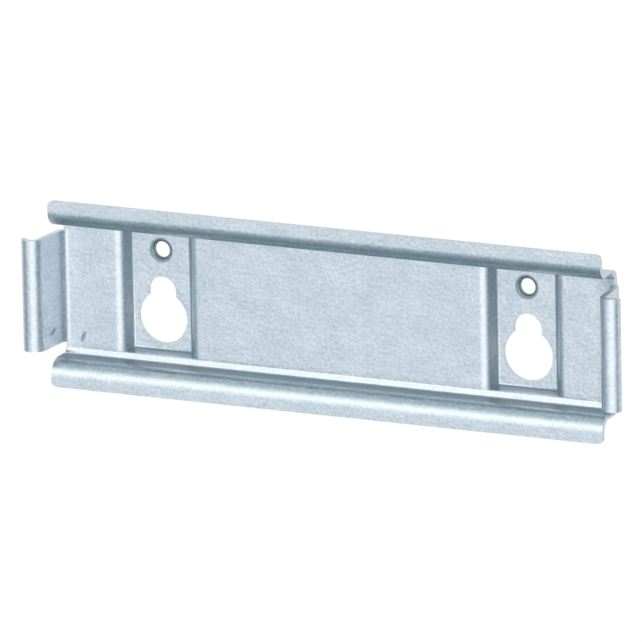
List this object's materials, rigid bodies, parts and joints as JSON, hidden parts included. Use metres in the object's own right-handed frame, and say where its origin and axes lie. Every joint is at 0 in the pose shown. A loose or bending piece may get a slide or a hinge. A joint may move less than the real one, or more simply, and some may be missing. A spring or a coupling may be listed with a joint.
{
  "type": "din rail",
  "caption": "Short 35 mm top-hat DIN rail in zinc-plated sheet steel, with pressed feet, keyholes, small rolled holes and folded tabs at its ends.",
  "frame": {"origin": "under the middle of the rail, on the plane of the backs of the two pressed feet", "axes": "+X along the rail, +Y across it towards the small holes, +Z out of the channel towards the side that devices clip on to"},
  "size_m": [0.1194, 0.035, 0.0131],
  "materials": {
    "zinc_plated_steel": "bright zinc plating, slightly bluish, semi-gloss"
  },
  "bodies": {
    "root": {"mounting_rail": "zinc_plated_steel"}
  },
  "joints": []
}
